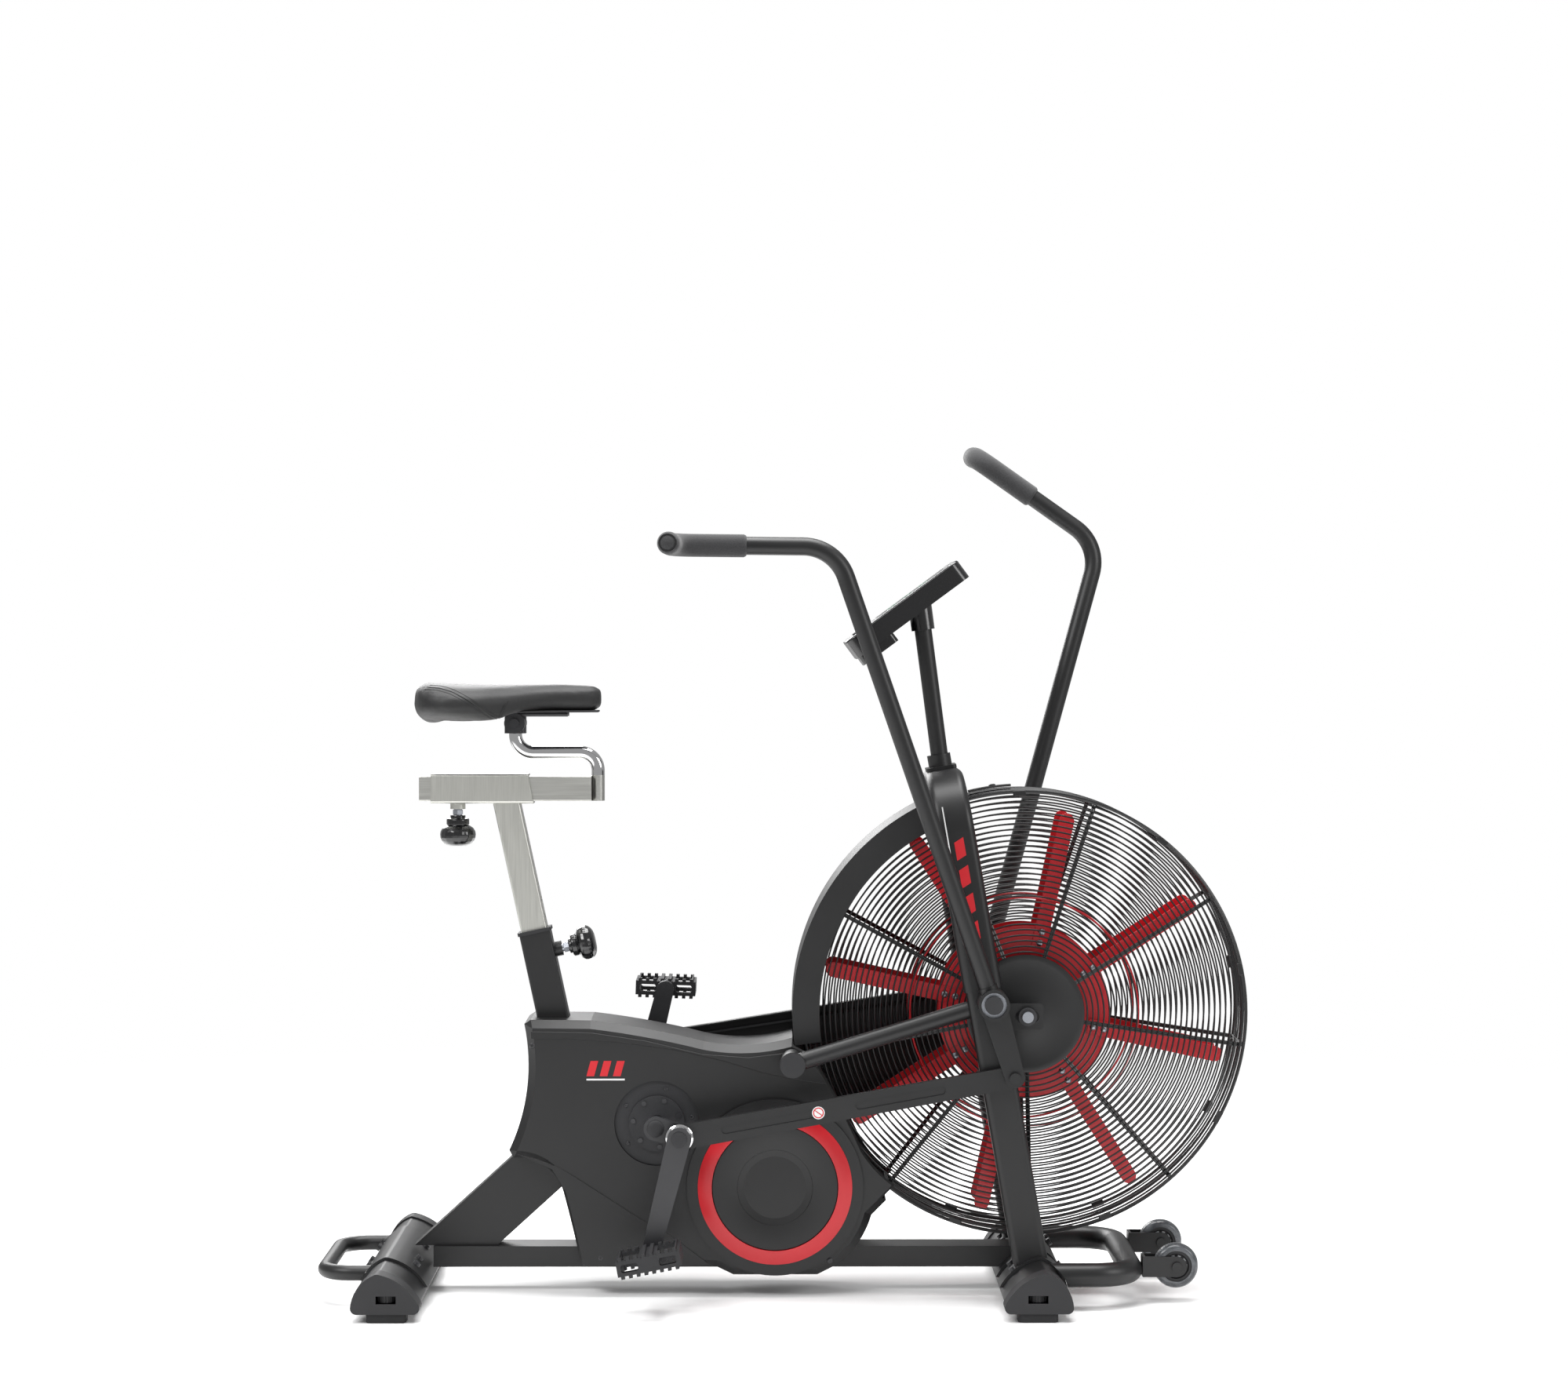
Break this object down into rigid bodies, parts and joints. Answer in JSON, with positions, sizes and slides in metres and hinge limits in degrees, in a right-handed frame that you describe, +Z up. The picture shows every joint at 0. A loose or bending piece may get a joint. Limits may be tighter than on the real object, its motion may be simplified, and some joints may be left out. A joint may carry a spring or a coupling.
{
  "type": "air bike",
  "caption": "Air bike with a belt-driven caged fan, swinging handlebars linked to the cranks, a sliding saddle, console and transport wheels.",
  "frame": {"origin": "on the floor, at the middle of the bike's length and width", "axes": "+X forward, towards the fan; +Y to the rider's left; +Z up"},
  "size_m": [1.336, 0.609, 1.2395],
  "materials": {
    "powder_coat": "satin black powder coat",
    "wire_black": "black coated wire",
    "black_plastic": "matte black moulded plastic",
    "casing_plastic": "fine-grained black moulded plastic",
    "gloss_black": "gloss black moulded plastic",
    "screen_lens": "clear window over a dark display",
    "red_trim": "red trim ring",
    "bearing_steel": "ground bearing steel",
    "belt_rubber": "ribbed belt",
    "black_steel": "black oxide and e-coated steel",
    "zinc_steel": "zinc plated steel",
    "pulley_aluminium": "machined aluminium",
    "fan_red": "red powder coat",
    "grip_foam": "closed-cell foam",
    "brushed_nickel": "satin nickel plate",
    "polished_chrome": "polished chrome plate",
    "leatherette": "black grained leatherette",
    "wheel_urethane": "smoke-grey urethane",
    "foot_rubber": "black rubber"
  },
  "bodies": {
    "root": {"base_rail": "powder_coat", "diagonal_frame": "powder_coat", "seat_tube": "powder_coat", "seat_tube_sleeve": "black_plastic", "stabilizers": "powder_coat", "stabilizer_caps": "black_plastic", "rear_handle": "powder_coat", "front_loop": "powder_coat", "front_posts": "powder_coat", "front_fork": "powder_coat", "console_mast": "powder_coat", "fan_stays": "powder_coat", "fan_axle": "zinc_steel", "right_grille": "wire_black", "left_grille": "wire_black", "fan_guard": "powder_coat", "right_casing": "casing_plastic", "left_casing": "casing_plastic", "belt_guard": "casing_plastic", "cover_rings": "red_trim", "bearing_covers": "black_plastic", "crank_bearings": "bearing_steel", "pivot_bearings": "bearing_steel", "drive_belt": "belt_rubber", "frame_fasteners": "black_steel", "console_housing": "gloss_black", "console_screen": "screen_lens"},
    "crankset": {"crank_spindle": "zinc_steel", "crank_pulley": "pulley_aluminium", "inner_cranks": "black_steel", "right_crank_arm": "black_steel", "left_crank_arm": "black_steel"},
    "right_rod": {"right_link_rod": "powder_coat"},
    "left_rod": {"left_link_rod": "powder_coat"},
    "fan": {"fan_hub": "fan_red", "fan_blades": "fan_red", "fan_pulley": "pulley_aluminium"},
    "right_handle": {"right_rocker": "powder_coat", "right_handlebar": "powder_coat", "right_grip": "grip_foam"},
    "left_handle": {"left_rocker": "powder_coat", "left_handlebar": "powder_coat", "left_grip": "grip_foam"},
    "right_pedal_body": {"right_pedal": "black_plastic"},
    "left_pedal_body": {"left_pedal": "black_plastic"},
    "post": {"seat_post": "brushed_nickel"},
    "slider": {"seat_slider": "polished_chrome", "saddle_clamp": "black_steel"},
    "saddle": {"saddle_cradle": "black_steel", "saddle_pad": "leatherette"},
    "post_knob_body": {"post_knob": "gloss_black"},
    "slider_knob_body": {"slider_knob": "gloss_black"},
    "right_wheel_body": {"right_wheel": "wheel_urethane"},
    "left_wheel_body": {"left_wheel": "wheel_urethane"},
    "rear_right_foot": {"rear_right_leveller": "foot_rubber"},
    "rear_left_foot": {"rear_left_leveller": "foot_rubber"},
    "front_right_foot": {"front_right_leveller": "foot_rubber"},
    "front_left_foot": {"front_left_leveller": "foot_rubber"},
    "button_1": {"console_button_1": "black_plastic"},
    "button_2": {"console_button_2": "black_plastic"}
  },
  "joints": [
    {"name": "crank_spin", "type": "hinge", "parent": "root", "child": "crankset", "pos_m": [-0.183, 0, 0.25], "axis": [0, 1, 0], "continuous": true},
    {"name": "fan_spin", "type": "hinge", "parent": "root", "child": "fan", "pos_m": [0.347, 0, 0.408], "axis": [0, 1, 0], "continuous": true},
    {"name": "right_rod_journal", "type": "hinge", "parent": "crankset", "child": "right_rod", "pos_m": [-0.1485, -0.144, 0.23972], "axis": [0, 1, 0], "continuous": true},
    {"name": "left_rod_journal", "type": "hinge", "parent": "crankset", "child": "left_rod", "pos_m": [-0.2175, 0.144, 0.26028], "axis": [0, 1, 0], "continuous": true},
    {"name": "right_pedal_spin", "type": "hinge", "parent": "crankset", "child": "right_pedal_body", "pos_m": [-0.18893, -0.22, 0.0801], "axis": [0, 1, 0], "continuous": true},
    {"name": "left_pedal_spin", "type": "hinge", "parent": "crankset", "child": "left_pedal_body", "pos_m": [-0.17707, 0.22, 0.4199], "axis": [0, 1, 0], "continuous": true},
    {"name": "right_handle_swing", "type": "hinge", "parent": "root", "child": "right_handle", "pos_m": [0.295, -0.165, 0.431], "axis": [0, 1, 0], "range_deg": [-1.9, 36.9]},
    {"name": "left_handle_swing", "type": "hinge", "parent": "root", "child": "left_handle", "pos_m": [0.295, 0.165, 0.431], "axis": [0, 1, 0], "range_deg": [-36.9, 1.9]},
    {"name": "seat_height", "type": "slide", "parent": "root", "child": "post", "axis": [-0.2113, 0, 0.9774], "range_m": [-0.07, 0.1]},
    {"name": "seat_fore_aft", "type": "slide", "parent": "post", "child": "slider", "axis": [1, 0, 0], "range_m": [-0.08, 0.04]},
    {"name": "saddle_tilt", "type": "hinge", "parent": "slider", "child": "saddle", "pos_m": [-0.39, 0, 0.824], "axis": [0, 1, 0], "range_deg": [-12, 12]},
    {"name": "post_knob_pull", "type": "slide", "parent": "root", "child": "post_knob_body", "axis": [0.9774, 0, 0.2113], "range_m": [0, 0.01], "stiffness_N_per_m": 500, "springref_m": -0.01},
    {"name": "slider_knob_pull", "type": "slide", "parent": "post", "child": "slider_knob_body", "axis": [0, 0, -1], "range_m": [0, 0.01], "stiffness_N_per_m": 500, "springref_m": -0.01},
    {"name": "right_wheel_spin", "type": "hinge", "parent": "root", "child": "right_wheel_body", "pos_m": [0.56, -0.105, 0.051], "axis": [0, 1, 0], "continuous": true},
    {"name": "left_wheel_spin", "type": "hinge", "parent": "root", "child": "left_wheel_body", "pos_m": [0.56, 0.105, 0.051], "axis": [0, 1, 0], "continuous": true},
    {"name": "rear_right_leveller_screw", "type": "slide", "parent": "root", "child": "rear_right_foot", "axis": [0, 0, 1], "range_m": [-0.008, 0]},
    {"name": "rear_left_leveller_screw", "type": "slide", "parent": "root", "child": "rear_left_foot", "axis": [0, 0, 1], "range_m": [-0.008, 0]},
    {"name": "front_right_leveller_screw", "type": "slide", "parent": "root", "child": "front_right_foot", "axis": [0, 0, 1], "range_m": [-0.008, 0]},
    {"name": "front_left_leveller_screw", "type": "slide", "parent": "root", "child": "front_left_foot", "axis": [0, 0, 1], "range_m": [-0.008, 0]},
    {"name": "button_1_press", "type": "slide", "parent": "root", "child": "button_1", "axis": [0.5934, 0, -0.8049], "range_m": [0, 0.0015], "stiffness_N_per_m": 400, "springref_m": -0.001},
    {"name": "button_2_press", "type": "slide", "parent": "root", "child": "button_2", "axis": [0.5934, 0, -0.8049], "range_m": [0, 0.0015], "stiffness_N_per_m": 400, "springref_m": -0.001}
  ],
  "couplings": [
    {"joint": "fan_spin", "follows": "crank_spin", "ratio": 4.4444},
    {"joint": "right_rod_journal", "follows": "crank_spin", "ratio": -1},
    {"joint": "left_rod_journal", "follows": "crank_spin", "ratio": -1},
    {"joint": "left_handle_swing", "follows": "right_handle_swing", "ratio": -1}
  ]
}
